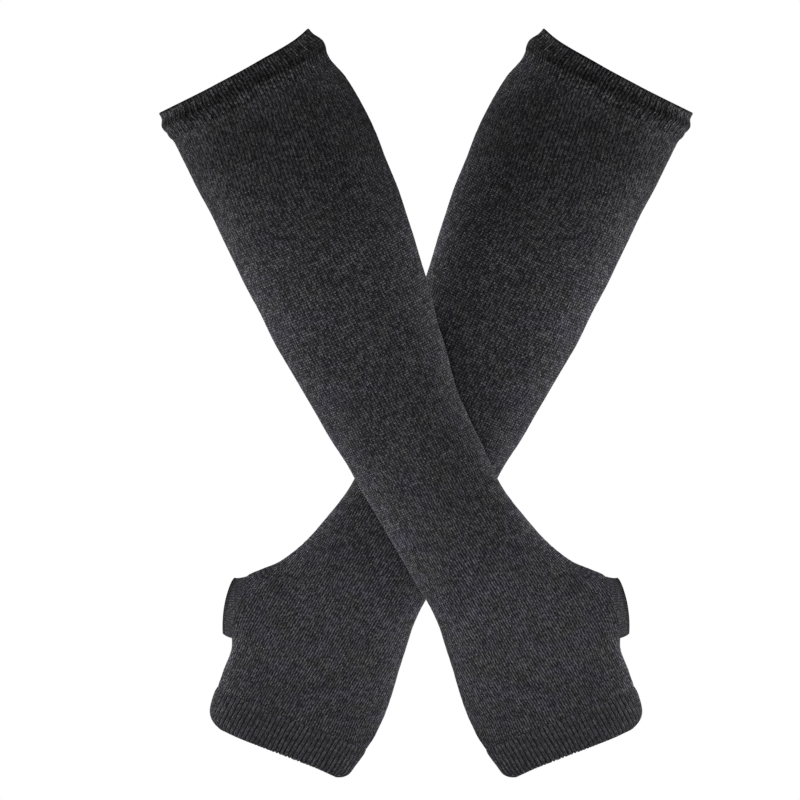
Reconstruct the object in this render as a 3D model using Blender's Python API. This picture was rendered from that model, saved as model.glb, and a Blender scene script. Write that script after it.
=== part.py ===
# Pair of long fingerless arm warmers, knitted as tubes in fine charcoal heather yarn.
# Each is filled out as on an arm, hollow from the upper arm to the fingers, and the two
# cross at the forearms, the front one leaning from upper left to lower right.
#
# Each warmer is modelled in its own frame: X across, towards the thumb; Y through the arm;
# Z up towards the elbow, with the origin where the two warmers cross. "along" in the tables
# runs the other way, from the top rim down to the fingers. Tables are in millimetres.

from collections import namedtuple
from math import cos, pi, radians, sin

import bpy
from mathutils import Vector

MM = 0.001

# driving dimensions
LENGTH = 380.5          # top rim to finger rim, down the middle
CLOTH = 1.5             # wall of knit
SEAM = 0.3              # gap between two pieces at a seam
THUMB_SEAM = 0.45       # the same along the thumb, whose seam is slanted
CROSSING = 214.0        # along each warmer to the point where the two cross
LEAN = radians(26.26)   # of each warmer from the vertical
HALF_SPACING = 24.45    # of each warmer's axis from the plane between the two
BAND_LENGTH = 16.0      # rolled band round the upper arm
CUFF_LENGTH = 18.5      # ribbed cuff round the fingers
WRIST = 250.0           # along each warmer to where its sleeve is parted into arm and hand
RIB_HEIGHT = 0.55
RIB_COUNT = 68          # one knit wale and one purl wale each
LITTLE_FULLNESS = 2.15  # exponent of the oval on the little-finger side

# Cross sections of the cloth's outside: how far the two edges and the deepest point lie
# from the axis, the half depth there, and the exponent of the oval on the thumb side.
Section = namedtuple("Section", "along little thumb middle half_depth fullness")
SECTIONS = (
    Section(0.0, -43.7, 43.0, 0.2, 35.6, 2.1),
    Section(8.0, -44.1, 44.2, 0.2, 35.8, 2.1),
    Section(14.0, -44.8, 45.0, 0.4, 36.0, 2.1),
    Section(18.0, -43.7, 46.0, 0.8, 36.3, 2.1),
    Section(26.0, -43.7, 47.8, 1.8, 37.0, 2.1),
    Section(42.0, -43.3, 49.1, 2.8, 37.6, 2.1),
    Section(60.0, -42.8, 48.9, 3.0, 37.5, 2.1),
    Section(84.0, -43.2, 46.8, 1.8, 36.4, 2.1),
    Section(108.0, -43.1, 43.8, 0.2, 34.8, 2.1),
    Section(132.0, -42.5, 39.9, -1.4, 32.8, 2.1),
    Section(161.0, -40.8, 34.1, -3.4, 29.6, 2.1),
    Section(198.0, -37.7, 28.1, -4.6, 25.6, 2.1),
    Section(235.0, -35.1, 27.1, -3.8, 22.8, 2.1),
    Section(252.0, -33.8, 28.4, -2.7, 21.4, 2.1),
    Section(268.0, -32.6, 31.6, -1.0, 20.2, 2.15),
    Section(282.0, -31.8, 36.0, 0.8, 19.4, 2.2),
    Section(294.0, -32.0, 42.4, 2.2, 18.9, 2.4),
    Section(301.0, -32.7, 48.5, 2.8, 18.7, 2.6),
    Section(307.75, -33.7, 53.9, 3.0, 18.5, 2.8),
    Section(316.0, -35.2, 56.5, 3.0, 18.1, 3.0),
    Section(327.0, -37.3, 55.0, 2.6, 17.6, 3.0),
    Section(334.0, -38.3, 50.5, 2.2, 17.2, 2.7),
    Section(338.65, -38.8, 46.8, 2.0, 16.9, 2.5),
    Section(342.5, -39.0, 44.2, 1.8, 16.7, 2.3),
    Section(352.0, -38.9, 42.5, 1.6, 16.2, 2.2),
    Section(362.0, -38.0, 42.3, 1.6, 15.8, 2.2),
    Section(372.0, -36.3, 41.0, 1.4, 15.2, 2.2),
    Section(376.0, -35.5, 39.2, 1.2, 14.8, 2.2),
    Section(378.5, -34.6, 36.5, 0.9, 14.4, 2.2),
    Section(380.5, -32.9, 32.7, 0.5, 13.9, 2.2),
)

# How far the band stands out of the oval: a soft roll with a neck below it.
Swell = namedtuple("Swell", "along out")
BAND_SWELL = (
    Swell(0.0, -0.6),
    Swell(3.0, 0.2),
    Swell(5.5, 1.2),
    Swell(7.5, 1.5),
    Swell(9.5, 1.1),
    Swell(12.0, 0.0),
    Swell(16.0, -0.4),
)
BAND_EASE = 10.0        # below the band, over which the sleeve loses its swell

# How far each rim dips below its ring: its height in the middle, lean, bow and twist.
RimCurve = namedtuple("RimCurve", "middle lean bow twist")
TOP_RIM = RimCurve(0.25, -0.05, -0.0007, 0.0)
FINGER_RIM = RimCurve(0.0, 0.095, -0.0011, -0.00002)
FINGER_RIM_START = 336.0

# Rings down the pieces. The thumb hole lies between two rings of the hand.
RINGS_ABOVE_WRIST = (20.0, 28.0, 42.0, 62.0, 86.0, 110.0, 134.0, 158.0, 182.0, 206.0, 230.0)
RINGS_ABOVE_HOLE = (267.0, 281.0, 291.5, 300.0)
RINGS_IN_HOLE = (307.75, 314.0, 320.5, 327.0, 333.0, 338.65)
RINGS_BELOW_HOLE = (344.5, 352.5)
CUFF_RINGS = (369.0, 375.0, 378.5)
COLUMNS = 36            # corners round a sleeve or band
OVAL_SAMPLES = 90       # steps in which half an oval is measured
HOLE_REACH = 3          # columns from the thumb edge to the side of the hole
EASE_RINGS = 4          # rings and columns over which the sleeve eases into the hole
EASE_COLUMNS = 6
EASE_ROUNDS = 60

# Ovals of the thumb collar: the ends nearest the elbow and nearest the fingers, as along
# and across, the half size through the hand, how far the sides stand out, and the swell.
Oval = namedtuple("Oval", "top_along top_across end_along end_across half_depth bow swell")
THUMB_ROOT = Oval(307.75, 53.9, 338.65, 46.8, 13.2, 1.0, 0.0)
THUMB_CREST = Oval(310.1, 57.4, 338.5, 50.1, 12.3, 1.5, 0.7)
THUMB_RIM = Oval(311.8, 59.6, 338.3, 52.2, 11.6, 1.9, 0.0)

# Colours of the heather knit, in linear light.
SLEEVE_COLOUR = (0.034, 0.034, 0.037)
BAND_COLOUR = (0.028, 0.028, 0.031)
CUFF_COLOUR = (0.036, 0.036, 0.039)
COLLAR_COLOUR = (0.030, 0.030, 0.033)
KNIT_ROUGHNESS = 0.95
SHARP_EDGE = radians(50)


def read_table(rows, column, along):
    """Smooth curve through one column of a table, without overshoot."""
    spots = [row.along for row in rows]
    values = [getattr(row, column) for row in rows]
    if along <= spots[0]:
        return values[0]
    if along >= spots[-1]:
        return values[-1]
    after = next(i for i, spot in enumerate(spots) if spot > along)
    before = after - 1
    steps = [b - a for a, b in zip(spots, spots[1:])]
    climbs = [(b - a) / step for a, b, step in zip(values, values[1:], steps)]

    def slope(i):
        if i == 0 or i == len(climbs):
            return climbs[min(i, len(climbs) - 1)]
        left, right = climbs[i - 1], climbs[i]
        if left * right <= 0:
            return 0.0
        return 2 * left * right / (left + right)

    step = steps[before]
    t = (along - spots[before]) / step
    return ((1 + 2 * t) * (1 - t) ** 2 * values[before]
            + t * (1 - t) ** 2 * step * slope(before)
            + t * t * (3 - 2 * t) * values[after]
            + t * t * (t - 1) * step * slope(after))


def smooth_step(value, start, end):
    t = min(max((value - start) / (end - start), 0.0), 1.0)
    return t * t * (3 - 2 * t)


def half_oval(along):
    """Half a section, from the thumb edge round the back to the little-finger edge."""
    middle = read_table(SECTIONS, "middle", along)
    thumb = read_table(SECTIONS, "thumb", along)
    little = read_table(SECTIONS, "little", along)
    half_depth = read_table(SECTIONS, "half_depth", along)
    fullness = read_table(SECTIONS, "fullness", along)
    points = []
    for i in range(OVAL_SAMPLES + 1):
        angle = pi * i / OVAL_SAMPLES
        if angle <= pi / 2:
            reach, power = thumb - middle, 2 / fullness
        else:
            reach, power = little - middle, 2 / LITTLE_FULLNESS
        across = middle + reach * abs(cos(angle)) ** power
        points.append((across, half_depth * abs(sin(angle)) ** power))
    return points


def even_points(points, count):
    """Points at equal steps along a line."""
    lengths = [0.0]
    for a, b in zip(points, points[1:]):
        lengths.append(lengths[-1] + ((b[0] - a[0]) ** 2 + (b[1] - a[1]) ** 2) ** 0.5)
    result = []
    segment = 0
    for i in range(count + 1):
        target = lengths[-1] * i / count
        while segment < len(points) - 2 and lengths[segment + 1] < target:
            segment += 1
        t = (target - lengths[segment]) / (lengths[segment + 1] - lengths[segment])
        a, b = points[segment], points[segment + 1]
        result.append((a[0] + (b[0] - a[0]) * t, a[1] + (b[1] - a[1]) * t))
    return result


def rim_dip(curve, across):
    return curve.middle + curve.lean * across + curve.bow * across ** 2 + curve.twist * across ** 3


def ring_dip(along, across):
    """Both rims run askew and bowed, and the rings near them follow."""
    near_top = 1 - smooth_step(along, 0.0, BAND_LENGTH)
    near_fingers = smooth_step(along, FINGER_RIM_START, LENGTH - CUFF_LENGTH)
    return near_top * rim_dip(TOP_RIM, across) + near_fingers * rim_dip(FINGER_RIM, across)


def ring(along, columns):
    """One ring of the oval: column 0 at the thumb edge, then round the back."""
    half = even_points(half_oval(along), columns // 2)
    outline = half + [(across, -depth) for across, depth in half[-2:0:-1]]
    return [Vector((across, depth, CROSSING - along - ring_dip(along, across)))
            for across, depth in outline]


def swollen(points, amounts):
    """A ring moved out, by an amount for each of its points."""
    moved = []
    for i, (point, amount) in enumerate(zip(points, amounts)):
        run = points[(i + 1) % len(points)] - points[i - 1]
        out = Vector((run.y, -run.x, 0)).normalized()
        moved.append(point + out * amount)
    return moved


def thumb_direction(oval):
    """Straight out of an oval of the thumb collar."""
    chord = Vector((oval.top_across - oval.end_across, 0, oval.end_along - oval.top_along))
    return Vector((chord.z, 0, -chord.x)).normalized()


def oval_ring(oval, count):
    """A ring of the thumb collar, in step with the edge of the sleeve's hole."""
    top = Vector((oval.top_across, 0, CROSSING - oval.top_along))
    end = Vector((oval.end_across, 0, CROSSING - oval.end_along))
    centre = (top + end) / 2
    points = []
    for i in range(count):
        angle = 2 * pi * i / count
        radial = (top - centre) * cos(angle) + Vector((0, oval.half_depth * sin(angle), 0))
        points.append(centre + radial * (1 + oval.swell / radial.length)
                      + thumb_direction(oval) * oval.bow * sin(angle) ** 2)
    return points


def hole_edge(first, last):
    """Grid places round the thumb hole, from its top round the back."""
    reach = HOLE_REACH
    back = [(first, k) for k in range(reach)]
    back += [(i, reach) for i in range(first, last)]
    back += [(last, k) for k in range(reach, 0, -1)]
    front = [(last, -k) for k in range(reach)]
    front += [(i, -reach) for i in range(last, first, -1)]
    front += [(first, -k) for k in range(reach, 0, -1)]
    return [(i, k % COLUMNS) for i, k in back + front]


def ease(grid, moves, first, last):
    """Spread the moves of the hole's edge smoothly over the rings and columns around it."""
    rings = range(first - EASE_RINGS, min(last + EASE_RINGS, len(grid) - 1))
    reach = HOLE_REACH + EASE_COLUMNS
    around_hole = [(i, k) for i in rings for k in range(-reach, reach + 1) if k
                   and not (first < i < last and abs(k) < HOLE_REACH)]
    free = [(i, k % COLUMNS) for i, k in around_hole if (i, k % COLUMNS) not in moves]
    still = Vector()
    field = dict(moves)
    for _ in range(EASE_ROUNDS):
        for i, k in free:
            beside = ((i - 1, k), (i + 1, k), (i, (k - 1) % COLUMNS), (i, (k + 1) % COLUMNS))
            field[(i, k)] = sum((field.get(place, still) for place in beside), Vector()) / 4
    for (i, k), move in field.items():
        grid[i][k] = grid[i][k] + move


def all_cells(grid):
    return [(i, k) for i in range(len(grid) - 1) for k in range(len(grid[0]))]


def inside_of(grid, cells):
    """The grid moved in by the cloth, square to the cells that meet at each point."""
    width = len(grid[0])
    outs = [[Vector() for _ in line] for line in grid]
    for i, k in cells:
        right = (k + 1) % width
        a, b, c, d = grid[i][k], grid[i][right], grid[i + 1][right], grid[i + 1][k]
        out = (c - a).cross(b - d).normalized()
        for j, m in ((i, k), (i, right), (i + 1, right), (i + 1, k)):
            outs[j][m] += out
    return [[point - out.normalized() * CLOTH for point, out in zip(line, line_outs)]
            for line, line_outs in zip(grid, outs)]


def wall(outer, inner, cells):
    """Vertices and faces of a closed wall between two grids of the same size."""
    width = len(outer[0])
    inside = len(outer) * width
    cells = set(cells)
    faces = []
    for i, k in sorted(cells):
        right = (k + 1) % width
        corners = (i * width + k, (i + 1) * width + k, (i + 1) * width + right, i * width + right)
        faces.append(corners)
        faces.append(tuple(corner + inside for corner in reversed(corners)))
        sides = (((i - 1, k), 3, 0), ((i, (k - 1) % width), 0, 1),
                 ((i + 1, k), 1, 2), ((i, right), 2, 3))
        for neighbour, start, end in sides:
            if neighbour not in cells:
                a, b = corners[start], corners[end]
                faces.append((b, a, a + inside, b + inside))
    points = [point for line in outer + inner for point in line]
    used = sorted({corner for face in faces for corner in face})
    place = {old: new for new, old in enumerate(used)}
    return [points[old] for old in used], [tuple(place[v] for v in face) for face in faces]


def ribbed_wall(outer, inner):
    """Closed wall whose outside has several points for each point of its plain inside."""
    many, few = len(outer[0]), len(inner[0])
    step = many // few
    last = len(outer) - 1
    inside = len(outer) * many
    faces = []
    for i in range(last):
        for k in range(many):
            a, b = i * many + k, i * many + (k + 1) % many
            faces.append((a, a + many, b + many, b))
        for k in range(few):
            a, b = inside + i * few + k, inside + i * few + (k + 1) % few
            faces.append((b, b + few, a + few, a))
    for row in (0, last):
        for k in range(few):
            near = inside + row * few + k
            far = inside + row * few + (k + 1) % few
            edge = [row * many + (k * step + j) % many for j in range(step + 1)]
            half = step // 2
            fan = [(edge[j], edge[j + 1], near) for j in range(half)]
            fan.append((edge[half], far, near))
            fan += [(edge[j], edge[j + 1], far) for j in range(half, step)]
            faces += [face[::-1] if row == last else face for face in fan]
    return [point for line in outer + inner for point in line], faces


def sleeve_walls():
    """Both sides of the sleeve, the cells of its arm and of its hand, and the places round
    its thumb hole."""
    start = BAND_LENGTH + SEAM / 2
    end = LENGTH - CUFF_LENGTH - SEAM / 2
    spots = (start,) + RINGS_ABOVE_WRIST + (WRIST - SEAM / 2, WRIST + SEAM / 2)
    spots += RINGS_ABOVE_HOLE + RINGS_IN_HOLE + RINGS_BELOW_HOLE + (end,)
    outer = []
    for along in spots:
        swell = read_table(BAND_SWELL, "out", start)
        swell *= 1 - smooth_step(along, start, start + BAND_EASE)
        outer.append(swollen(ring(along, COLUMNS), [swell] * COLUMNS))
    first = spots.index(RINGS_IN_HOLE[0])
    last = spots.index(RINGS_IN_HOLE[-1])
    edge = hole_edge(first, last)
    moves = {}
    for (i, k), target in zip(edge, oval_ring(THUMB_ROOT, len(edge))):
        moves[(i, k)] = target - outer[i][k]
    ease(outer, moves, first, last)
    hole = {(i, k % COLUMNS) for i in range(first, last)
            for k in range(-HOLE_REACH, HOLE_REACH)}
    cells = [cell for cell in all_cells(outer) if cell not in hole]
    arm_cells = [(i, k) for i, k in cells if spots[i + 1] < WRIST]
    hand_cells = [(i, k) for i, k in cells if spots[i] > WRIST]
    return outer, inside_of(outer, arm_cells + hand_cells), arm_cells, hand_cells, edge


def arm_shape():
    """Seamless tube of the arm, down to the wrist."""
    outer, inner, arm_cells, _, _ = sleeve_walls()
    return wall(outer, inner, arm_cells)


def hand_shape():
    """Tube of the hand below the wrist, with the hole that the thumb collar is knitted on."""
    outer, inner, _, hand_cells, _ = sleeve_walls()
    return wall(outer, inner, hand_cells)


def band_shape():
    """Rolled band round the upper arm."""
    spots = [row.along for row in BAND_SWELL[:-1]] + [BAND_LENGTH - SEAM / 2]
    outer = []
    for along in spots:
        swell = read_table(BAND_SWELL, "out", along)
        outer.append(swollen(ring(along, COLUMNS), [swell] * COLUMNS))
    cells = all_cells(outer)
    return wall(outer, inside_of(outer, cells), cells)


def cuff_shape():
    """Ribbed cuff round the fingers: ridges outside, plain inside."""
    points_per_rib = 2
    columns = points_per_rib * RIB_COUNT
    spots = (LENGTH - CUFF_LENGTH + SEAM / 2,) + CUFF_RINGS + (LENGTH,)
    plain = [ring(along, columns) for along in spots]
    ridges = [RIB_HEIGHT if k % points_per_rib else 0.0 for k in range(columns)]
    outer = [swollen(line, ridges) for line in plain]
    inner = inside_of(plain, all_cells(plain))
    return ribbed_wall(outer, [line[::2 * points_per_rib] for line in inner])


def collar_shape():
    """Short collar round the thumb, full near its middle and drawn in at its rim."""
    sleeve_outer, sleeve_inner, _, _, edge = sleeve_walls()
    seam = thumb_direction(THUMB_ROOT) * THUMB_SEAM
    root = [sleeve_outer[i][k] + seam for i, k in edge]
    outer = [root, oval_ring(THUMB_CREST, len(edge)), oval_ring(THUMB_RIM, len(edge))]
    cells = all_cells(outer)
    inner = inside_of(outer, cells)
    inner[0] = [sleeve_inner[i][k] + seam for i, k in edge]
    return wall(outer, inner, cells)


def knit_material(name, colour):
    material = bpy.data.materials.new(name)
    material.use_nodes = True
    shader = material.node_tree.nodes["Principled BSDF"]
    shader.inputs["Base Color"].default_value = (*colour, 1.0)
    shader.inputs["Roughness"].default_value = KNIT_ROUGHNESS
    shader.inputs["Metallic"].default_value = 0.0
    material.diffuse_color = (*colour, 1.0)
    return material


def add_piece(name, shape, side, holder, colour):
    """One named piece; side is 1 with the thumb towards +X and -1 for its mirror image."""
    points, faces = shape
    points = [Vector((point.x * side, point.y, point.z)) * MM for point in points]
    if side < 0:
        faces = [face[::-1] for face in faces]
    mesh = bpy.data.meshes.new(name)
    mesh.from_pydata(points, [], faces)
    mesh.update()
    mesh.shade_smooth()
    mesh.set_sharp_from_angle(angle=SHARP_EDGE)
    mesh.materials.append(knit_material(name, colour))
    piece = bpy.data.objects.new(name, mesh)
    piece.parent = holder
    bpy.context.collection.objects.link(piece)


def add_warmer(prefix, side):
    """Five pieces of one warmer, under an empty that leans and places them."""
    holder = bpy.data.objects.new(f"{prefix}_warmer", None)
    holder.location = (0, -side * HALF_SPACING * MM, 0)
    holder.rotation_euler = (0, -side * LEAN, 0)
    bpy.context.collection.objects.link(holder)
    add_piece(f"{prefix}_sleeve", arm_shape(), side, holder, SLEEVE_COLOUR)
    add_piece(f"{prefix}_hand", hand_shape(), side, holder, SLEEVE_COLOUR)
    add_piece(f"{prefix}_top_band", band_shape(), side, holder, BAND_COLOUR)
    add_piece(f"{prefix}_finger_cuff", cuff_shape(), side, holder, CUFF_COLOUR)
    add_piece(f"{prefix}_thumb_collar", collar_shape(), side, holder, COLLAR_COLOUR)


def main():
    for old in list(bpy.data.objects):
        bpy.data.objects.remove(old)
    add_warmer("front", 1)
    add_warmer("rear", -1)
    bpy.context.view_layer.update()


main()
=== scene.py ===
from collections import defaultdict
from math import pi, radians

import bpy
import numpy as np
from mathutils import Matrix, Vector


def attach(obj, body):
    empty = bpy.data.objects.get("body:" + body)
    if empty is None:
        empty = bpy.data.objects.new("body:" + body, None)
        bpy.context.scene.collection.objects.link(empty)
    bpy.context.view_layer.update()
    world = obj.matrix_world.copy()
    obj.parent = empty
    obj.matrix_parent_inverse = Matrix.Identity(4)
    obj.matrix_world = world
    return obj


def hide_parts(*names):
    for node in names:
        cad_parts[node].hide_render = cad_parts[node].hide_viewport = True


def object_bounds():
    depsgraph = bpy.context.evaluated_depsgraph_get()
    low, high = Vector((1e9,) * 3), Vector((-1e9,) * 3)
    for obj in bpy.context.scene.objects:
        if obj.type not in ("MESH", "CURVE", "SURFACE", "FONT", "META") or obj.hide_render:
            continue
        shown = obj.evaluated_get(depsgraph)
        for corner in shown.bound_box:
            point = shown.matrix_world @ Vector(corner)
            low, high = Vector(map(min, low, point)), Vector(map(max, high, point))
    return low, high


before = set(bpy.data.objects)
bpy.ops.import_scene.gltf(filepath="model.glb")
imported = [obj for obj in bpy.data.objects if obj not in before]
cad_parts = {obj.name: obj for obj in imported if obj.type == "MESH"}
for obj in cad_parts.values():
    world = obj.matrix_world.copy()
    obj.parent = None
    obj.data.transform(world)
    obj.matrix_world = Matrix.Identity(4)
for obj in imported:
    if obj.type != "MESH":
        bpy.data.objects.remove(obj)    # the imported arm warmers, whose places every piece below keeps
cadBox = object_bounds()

mm = 0.001

# Each warmer is made in its own frame, in millimetres: X towards the thumb, Y through the arm, Z
# up towards the elbow, from where the two cross. "along" runs down from the top rim. A share goes
# round the arm: 0 at the thumb edge, 0.25 behind, 0.5 at the little-finger edge, 0.75 in front.
warmer = {
    "length": 380.5,    # top rim to finger rim, down the middle
    "crossing": 214.0,    # top rim to where the two cross
    "lean": radians(26.26),    # from the vertical
    "halfSpacing": 24.45,    # from a warmer's middle to the plane between the two
    "bandLength": 16.0,
    "cuffLength": 18.5,
    "cloth": 1.4,    # thickness of the knit
    "seam": 0.06,    # left between two pieces
    "seamSlant": 0.7,    # how much nearer the fingers a seam lies on the inside
    "wales": 136,    # lines of stitches round the arm
    "lipRows": 5,    # rows round a rim
    "bulge": 0.5,    # how much painted shade the lines between the courses get inside and on the small pieces
    "littleFullness": 2.15,    # exponent of the oval on the little-finger side
    "ovalSteps": 720,    # in which half an oval is measured
    "sharpEdge": radians(75),    # between faces that keep an edge in their shading
}

# Sections of the cloth's outside: its two edges and its deepest point from the axis, the half
# depth there, and the exponent of the oval on the thumb side.
sections = {
    "columns": ("along", "little", "thumb", "middle", "halfDepth", "fullness"),
    "rows": (
        (0, -44.3, 42.2, 0.2, 35.6, 2.1), (8, -44.1, 44.2, 0.2, 35.8, 2.1),
        (14, -44.8, 45, 0.4, 36, 2.1), (18, -43.7, 46, 0.8, 36.3, 2.1),
        (26, -43.7, 47.8, 1.8, 37, 2.1), (42, -43.3, 49.1, 2.8, 37.6, 2.1),
        (60, -42.8, 48.9, 3, 37.5, 2.1), (84, -43.2, 46.8, 1.8, 36.4, 2.1),
        (108, -43.1, 43.8, 0.2, 34.8, 2.1), (132, -42.5, 39.9, -1.4, 32.8, 2.1),
        (161, -40.8, 34.1, -3.4, 29.6, 2.1), (198, -37.7, 28.1, -4.6, 25.6, 2.1),
        (235, -35.1, 27.1, -3.8, 22.8, 2.1), (252, -33.8, 28.4, -2.7, 21.4, 2.1),
        (268, -32.6, 31.6, -1, 20.2, 2.15), (282, -31.8, 36, 0.8, 19.4, 2.2),
        (294, -32, 42.4, 2.2, 18.9, 2.4), (301, -32.7, 48.5, 2.8, 18.7, 2.6),
        (307.75, -33.7, 53.9, 3, 18.5, 2.8), (316, -35.2, 56.5, 3, 18.1, 3),
        (327, -37.3, 55, 2.6, 17.6, 3), (334, -38.3, 50.5, 2.2, 17.2, 2.7),
        (338.65, -38.8, 46.8, 2, 16.9, 2.5), (342.5, -39, 44.2, 1.8, 16.7, 2.3),
        (352, -38.9, 42.5, 1.6, 16.2, 2.2), (362, -38, 42.3, 1.6, 15.8, 2.2),
        (372, -36.3, 41, 1.4, 15.2, 2.2), (376, -35.5, 39.2, 1.2, 14.8, 2.2),
        (378.5, -33.7, 36, 0.9, 14.4, 2.2), (380.5, -29.6, 30, 0.5, 13.7, 2.2),
    ),
}

# How far the band stands out of the oval: a soft roll with a neck below it.
bandSwell = {
    "columns": ("along", "out"),
    "rows": ((0, -0.25), (1.4, -0.5), (3.2, -0.4), (4.6, 0.2), (6, 1), (7.6, 1.5), (9.5, 1.15),
             (12, 0), (16, -0.4), (26, 0)),
}

# How far each rim dips below its ring, across the arm.
topRim = {
    "columns": ("across", "dip"),
    "rows": ((-46, 1.3), (-44, 1.25), (-21, 1.15), (-9, 0.83), (3, 0.45), (16, -0.33),
             (22.5, -0.65), (32, -1.45), (37.5, -2.5), (41.6, -3.65), (46, -5)),
}
fingerRim = {
    "columns": ("across", "dip"),
    "rows": ((-38, -3.2), (-30, -2.55), (-22, -2.2), (-9, -1), (-3, -0.5), (10, 0.7),
             (25, 1.6), (34, 1.6), (42, 1.2), (57, 0.6)),
}
fingerRimStart = 336.0

# How the wales lie on the front: where the one through the middle runs, how far apart they are,
# how many there are round the arm, and how long a stitch is. The rest are spread evenly over the
# back. The knitting grows at the thumb edge from the wrist to the thumb hole.
wales = {
    "columns": ("along", "middle", "pitch", "round", "stitch"),
    "rows": (
        (0, 5.4, 1.84, 136, 1.2), (14, 6, 1.84, 136, 1.2), (32, 4.2, 1.84, 136, 1.055),
        (58, 0.6, 1.87, 136, 1.16), (72, -0.9, 1.84, 136, 1.22), (84, -0.3, 1.81, 136, 1.27),
        (106, 1.4, 1.78, 136, 1.325), (144, 1.9, 1.73, 136, 1.3), (188, 2.3, 1.56, 136, 1.2),
        (236, 2.8, 1.38, 136, 1.16), (273, 4.1, 1.33, 141, 1.12), (308, 6, 1.32, 160, 1.015),
        (329, 7.1, 1.31, 160, 0.955), (349, 8.1, 1.27, 146, 0.95), (362, 8.7, 1.31, 136, 0.95),
        (380.5, 9.5, 1.31, 136, 0.95),
    ),
    "middleWale": 93,    # counted from the thumb hole, through the back
    "holeStart": (262.0, 300.0),    # where the grid's columns leave the wales for the thumb hole
    "holeEnd": (343.0, 360.0),    # and where they come back
    "courseBow": 0.0014,    # how fast the courses rise towards both edges
    "courseSteps": 1600,    # in which they are counted, to a little past the rim
    "pastRim": 5.0,
    "sway": ((0.22, 71, 3, 1), (0.1, 24, 7, 2.3)),    # slow wander of the wales
}

# Painted light and shade on the yarn down the arm: how light it shows, darker towards the upper arm
# as painted shade; how much painted light the little-finger side gets over the thumb side; the painted
# shade in the lines between the wales and in those between the courses; and the painted sheen along
# the thumb edge.
yarnShade = {
    "columns": ("along", "shade", "little", "valley", "bulge", "paintedSheen"),
    "rows": (
        (0, 0.55, 0, 0.3, 0.45, 0.15), (16, 0.57, 0, 0.3, 0.5, 0.25),
        (22, 0.51, -0.05, 0.3, 0.5, 0.4), (32, 0.44, 0.03, 0.35, 0.55, 0.45),
        (50, 0.49, 0.28, 0.35, 0.6, 0.35), (77, 0.57, 0.27, 0.3, 0.72, 0.6),
        (107, 0.74, 0.24, 0.28, 0.85, 0.6), (137, 0.78, 0.17, 0.32, 0.85, 0.5),
        (167, 0.74, 0.22, 0.36, 0.8, 0.4), (197, 0.77, 0.2, 0.4, 0.76, 0.15),
        (225, 0.84, 0.27, 0.48, 0.7, 0.15), (250, 0.9, 0.24, 0.56, 0.64, 0.2),
        (275, 0.97, 0.05, 0.65, 0.54, 0.05), (297, 1.06, 0, 0.7, 0.42, 0),
        (337, 1, 0, 0.7, 0.4, 0), (356, 0.92, 0, 0.7, 0.4, 0), (381, 0.8, 0, 0.6, 0.4, 0),
    ),
    "paintedSheenPower": 8,    # how narrow that painted sheen is
}


def readTable(table, column, along):
    # smooth curve through one column of a table, without overshoot
    spots = np.array([row[0] for row in table["rows"]])
    values = np.array([row[table["columns"].index(column)] for row in table["rows"]])
    along = np.clip(along, spots[0], spots[-1])
    before = np.clip(np.searchsorted(spots, along, side="right") - 1, 0, len(spots) - 2)
    steps = np.diff(spots)
    climbs = np.diff(values) / steps
    product = climbs[:-1] * climbs[1:]
    total = np.where(product > 0, climbs[:-1] + climbs[1:], 1.0)
    inner = np.where(product > 0, 2 * product / total, 0.0)
    slopes = np.concatenate((climbs[:1], inner, climbs[-1:]))
    step = steps[before]
    t = (along - spots[before]) / step
    return ((1 + 2 * t) * (1 - t) ** 2 * values[before] + t * (1 - t) ** 2 * step * slopes[before]
            + t * t * (3 - 2 * t) * values[before + 1]
            + t * t * (t - 1) * step * slopes[before + 1])


def smoothStep(value, start, end):
    t = np.clip((value - start) / (end - start), 0.0, 1.0)
    return t * t * (3 - 2 * t)


def runningSum(steps):
    return np.concatenate(((0.0,), np.cumsum(steps)))


def unit(vectors):
    return vectors / np.linalg.norm(vectors, axis=-1, keepdims=True)


def lipTurns():    # angles at which a rounded rim has its rows
    return np.linspace(0, pi, warmer["lipRows"] + 2)[1:-1]


def courseAt(alongs):    # how many courses lie above
    spots = np.linspace(0, warmer["length"] + wales["pastRim"], wales["courseSteps"])
    steps = 1 / readTable(wales, "stitch", (spots[1:] + spots[:-1]) / 2) * np.diff(spots)
    return np.interp(alongs, spots, runningSum(steps))


def shadeAt(alongs, turns=0.75):
    # painted light and shade of the yarn for each row, and for each of its points where turns has them
    alongs = np.asarray(alongs)[:, None]
    across = np.cos(2 * pi * (np.asarray(turns) - 0.5))
    paintedSheen = readTable(yarnShade, "paintedSheen", alongs) * np.clip(-across, 0, 1) ** yarnShade["paintedSheenPower"]
    return readTable(yarnShade, "shade", alongs) * (
        1 + readTable(yarnShade, "little", alongs) * across + paintedSheen)


def wander(waves, along, shares):
    # sum of slow waves over the cloth, each as size, length along, turns round and start
    return sum(size * np.sin(2 * pi * (along / length + around * shares) + start)
               for size, length, around, start in waves)


def ringTurns(along, shares, across, lengths):
    # share of the way round at which each column of the grid lies, and its wale there
    count, middle = warmer["wales"], wales["middleWale"]
    pitch = readTable(wales, "pitch", along)
    half = lengths[-1]
    toThumb = np.interp(-readTable(wales, "middle", along), -across, lengths)
    littleWale = middle - (half - toThumb) / pitch
    thumbWale = middle + toThumb / pitch
    held = smoothStep(along, *wales["holeStart"]) * (1 - smoothStep(along, *wales["holeEnd"]))
    heldWale = thumbWale + held * (count - thumbWale)
    sway = wander(wales["sway"], along, shares)
    column = shares * count + sway
    column = np.where(column < littleWale, column + count, column)
    middleTurn = 1 - toThumb / half / 2
    turn = np.interp(column, (littleWale, middle, heldWale, littleWale + count),
                     (0.5, middleTurn, 1.0, 1.5)) % 1
    backStart = thumbWale - readTable(wales, "round", along)
    wale = np.interp(turn, (0.0, 0.5, middleTurn, 1.0), (backStart, littleWale, middle, thumbWale))
    return turn, wale - sway


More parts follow.
